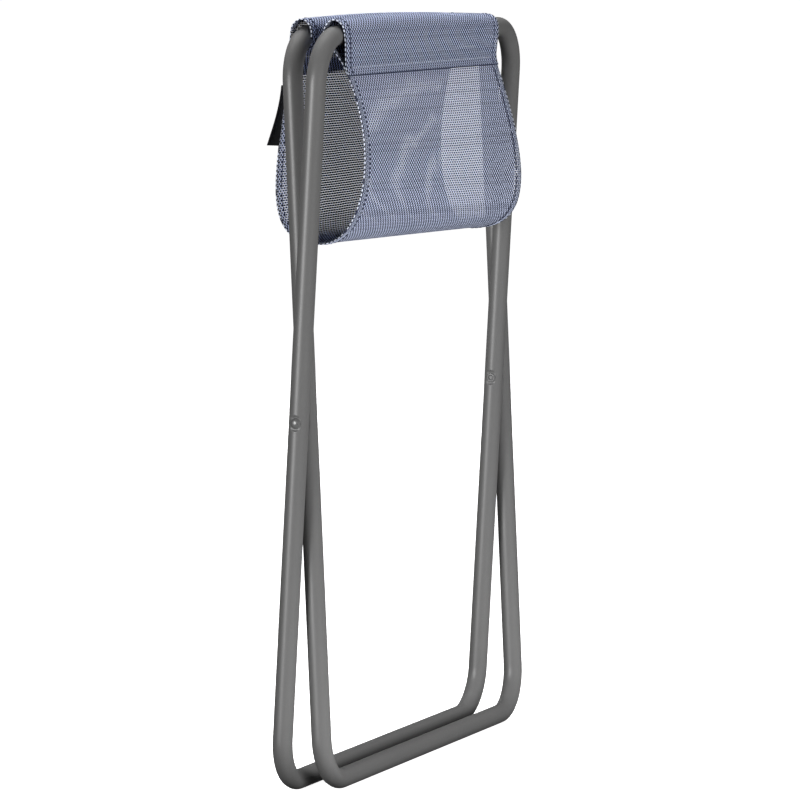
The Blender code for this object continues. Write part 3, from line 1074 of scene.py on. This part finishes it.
def build_camera():
    """The photo's camera: far off to the left, looking a little down."""
    data = bpy.data.cameras.new("camera")
    data.lens = CAMERA_LENS
    data.sensor_width = 36.0
    data.clip_end = 200.0
    camera = bpy.data.objects.new("camera", data)
    bpy.context.scene.collection.objects.link(camera)
    cos_a, sin_a = math.cos(CAMERA_AZIMUTH), math.sin(CAMERA_AZIMUTH)
    cos_d, sin_d = math.cos(CAMERA_DROP), math.sin(CAMERA_DROP)
    forward = Vector((sin_a * cos_d, cos_a * cos_d, -sin_d))
    right = Vector((cos_a, -sin_a, 0.0))
    up = right.cross(forward)
    cos_r, sin_r = math.cos(CAMERA_ROLL), math.sin(CAMERA_ROLL)
    right, up = cos_r * right + sin_r * up, cos_r * up - sin_r * right
    turn = Matrix((right, up, -forward)).transposed()
    camera.matrix_world = Matrix.Translation(CAMERA_PLACE) @ turn.to_4x4()
    bpy.context.scene.camera = camera


def build_room():
    """White for the camera, and dim light from all round for everything else."""
    world = bpy.data.worlds.new("studio")
    world.use_nodes = True
    tree = world.node_tree
    path = tree.nodes.new("ShaderNodeLightPath")
    strength = tree.nodes.new("ShaderNodeMapRange")
    strength.inputs["To Min"].default_value = ROOM_LIGHT
    tree.links.new(path.outputs["Is Camera Ray"], strength.inputs["Value"])
    tree.links.new(strength.outputs[0], tree.nodes["Background"].inputs["Strength"])
    tree.nodes["Background"].inputs["Color"].default_value = (1.0, 1.0, 1.0, 1.0)
    bpy.context.scene.world = world
    bpy.context.scene.view_settings.view_transform = "Standard"


def build_floor(low):
    """A white floor lit from within like a light table, which lights nothing else."""
    g = Graph("pale_floor")
    grain = g.noise(g.place(), scale=6.0)
    white = g.mix(grain, grey(0.90), grey(0.92))
    g.surface(
        Base_Color=white,
        Roughness=0.9,
        Specular_IOR_Level=0.1,
        Emission_Color=white,
        Emission_Strength=FLOOR_GLOW,
    )
    shape = Shape()
    square = ((-1, -1), (1, -1), (1, 1), (-1, 1))
    shape.add([(x * FLOOR_REACH, y * FLOOR_REACH, low) for x, y in square], [(0, 1, 2, 3)])
    floor = shape.finish("floor", [g.material])
    floor.visible_diffuse = False
    floor.visible_glossy = False


def softbox(name, place, size, power, aim=STOOL_MIDDLE, shine=False):
    """A rectangular lamp. Only one with shine is mirrored in the paint."""
    data = bpy.data.lights.new(name, "AREA")
    data.shape = "RECTANGLE"
    data.size, data.size_y = size
    data.energy = power
    lamp = bpy.data.objects.new(name, data)
    bpy.context.scene.collection.objects.link(lamp)
    lamp.location = place
    lamp.rotation_mode = "QUATERNION"
    lamp.rotation_quaternion = (Vector(aim) - Vector(place)).to_track_quat("-Z", "Y")
    lamp.visible_glossy = shine
    lamp.visible_camera = False


def build_studio():
    """The room, the floor and the softboxes. The bounce lamp stands in for the light that a
    white floor sends up in front of the stool."""
    build_room()
    low = min(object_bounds()[0].z, 0.0)
    build_floor(low)
    softbox("key", (-2.85, 0.94, 0.55), (0.8, 1.1), 64.0, shine=True)
    softbox("fill", (-1.05, -2.65, 0.80), (1.8, 1.2), 84.0)
    softbox("top", (0.10, 0.25, 1.35), (0.7, 0.6), 17.0)
    softbox("bounce", (-0.12, -0.20, low + BOUNCE_LIFT), (0.85, 0.3), 2.3, aim=(-0.12, -0.20, 1.0))
    softbox("rim", (2.5, 2.0, 1.0), (1.6, 1.0), 48.0)


build_camera()
front_offset, leg_spacing = build_tube("front")
build_tube("back")
for name, side in (("left", -1), ("right", 1)):
    build_rivet(name, side, abs(front_offset), leg_spacing)
    frame["nodes"][name + "_spacer_washer"].material_slots[0].material = SPACER
for half in SIDES:
    frame["nodes"][half + "_tube_joint_ferrule"].material_slots[0].material = RAW_STEEL
    free = free_strip(half)
    sleeve = build_sleeve(half, sleeve_strip(half, free))
    build_free_cloth(half, free)
    if half == "back":
        build_label(free)
build_studio()
